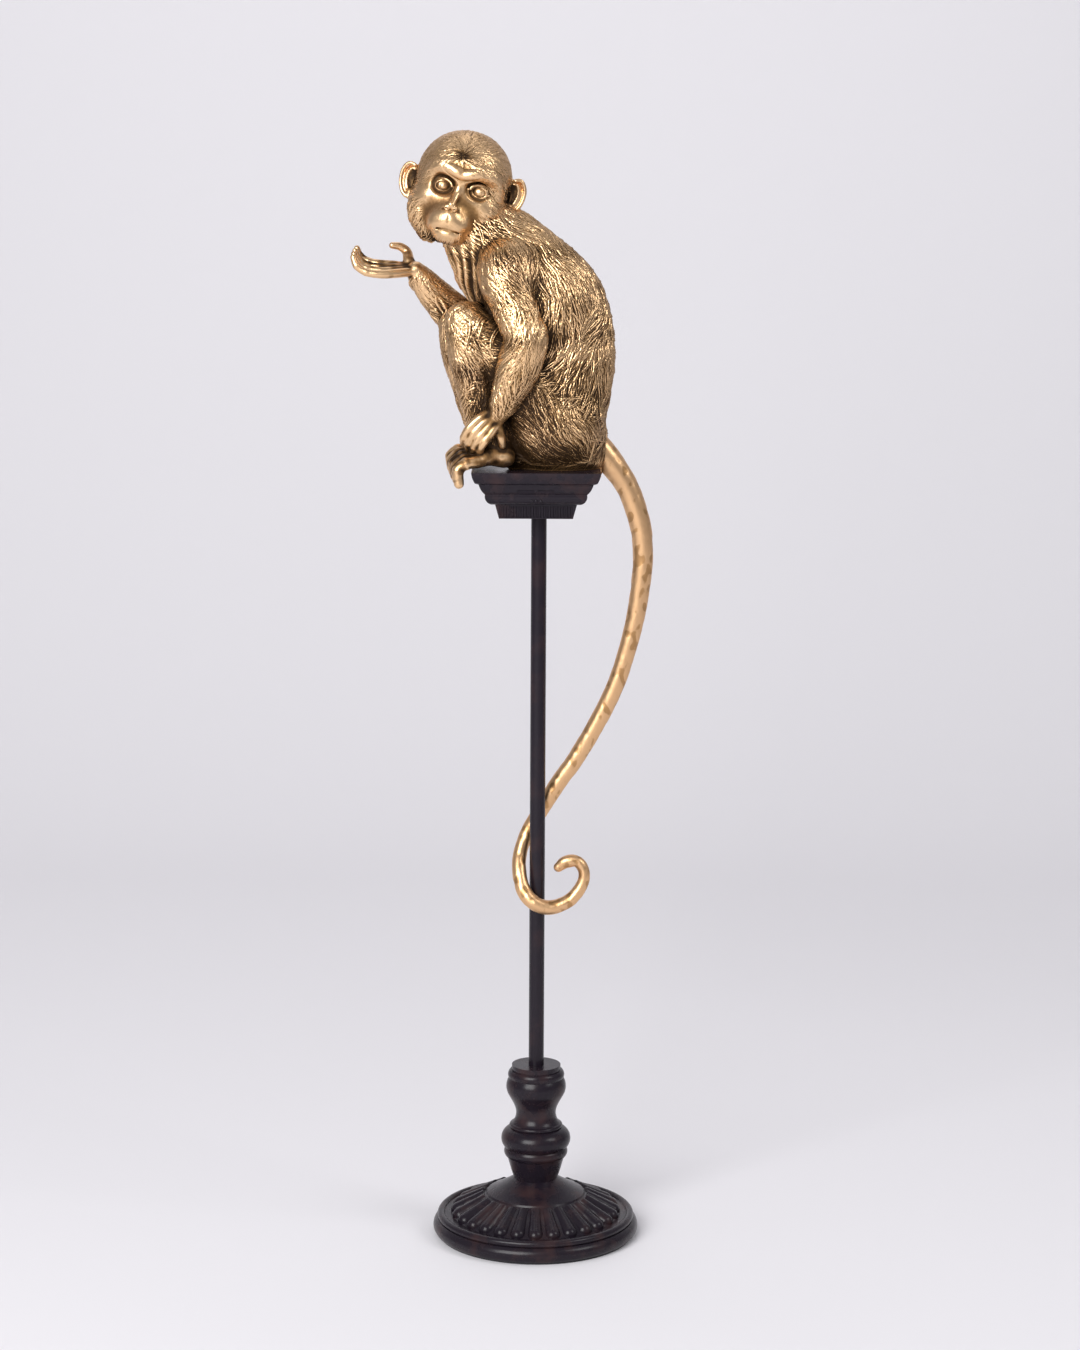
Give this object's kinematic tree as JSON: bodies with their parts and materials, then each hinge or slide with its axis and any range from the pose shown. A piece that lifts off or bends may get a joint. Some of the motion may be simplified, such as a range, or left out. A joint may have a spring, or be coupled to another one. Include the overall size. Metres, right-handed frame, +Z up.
{
  "type": "monkey figurine on stand",
  "caption": "Gilded seated monkey with an open hand and a long curled tail, on a square capital, pole, turned foot and gadrooned round base.",
  "frame": {"origin": "on the pole's axis, on the underside of the felt pad", "axes": "+Z up along the pole; the animal's body faces -X and its face looks towards -Y"},
  "size_m": [0.234, 0.163, 0.8702],
  "materials": {
    "felt": "black wool felt",
    "stand_black": "satin black over dark bronze, cast resin",
    "pole_black": "satin black paint on steel tube",
    "iron": "raw cast iron",
    "steel": "zinc-plated steel",
    "brass": "turned brass",
    "antique_gold": "cast resin, antique gold with dark brown in the grooves",
    "bright_gold": "cast resin, brighter rubbed gold"
  },
  "bodies": {
    "root": {"felt_pad": "felt", "base_casting": "stand_black", "baluster": "stand_black", "capital_block": "stand_black", "pole": "pole_black", "base_weight": "iron", "base_washer": "steel", "base_nut": "steel", "tie_rod": "steel", "figure_screws": "steel", "screw_washers": "steel", "head_dowel": "steel", "tail_dowel": "steel", "arm_dowels": "steel", "leg_dowels": "steel", "capital_insert": "brass", "torso": "antique_gold", "head": "antique_gold", "left_arm": "antique_gold", "right_arm": "antique_gold", "left_leg": "antique_gold", "right_leg": "antique_gold", "tail": "bright_gold"}
  },
  "joints": []
}
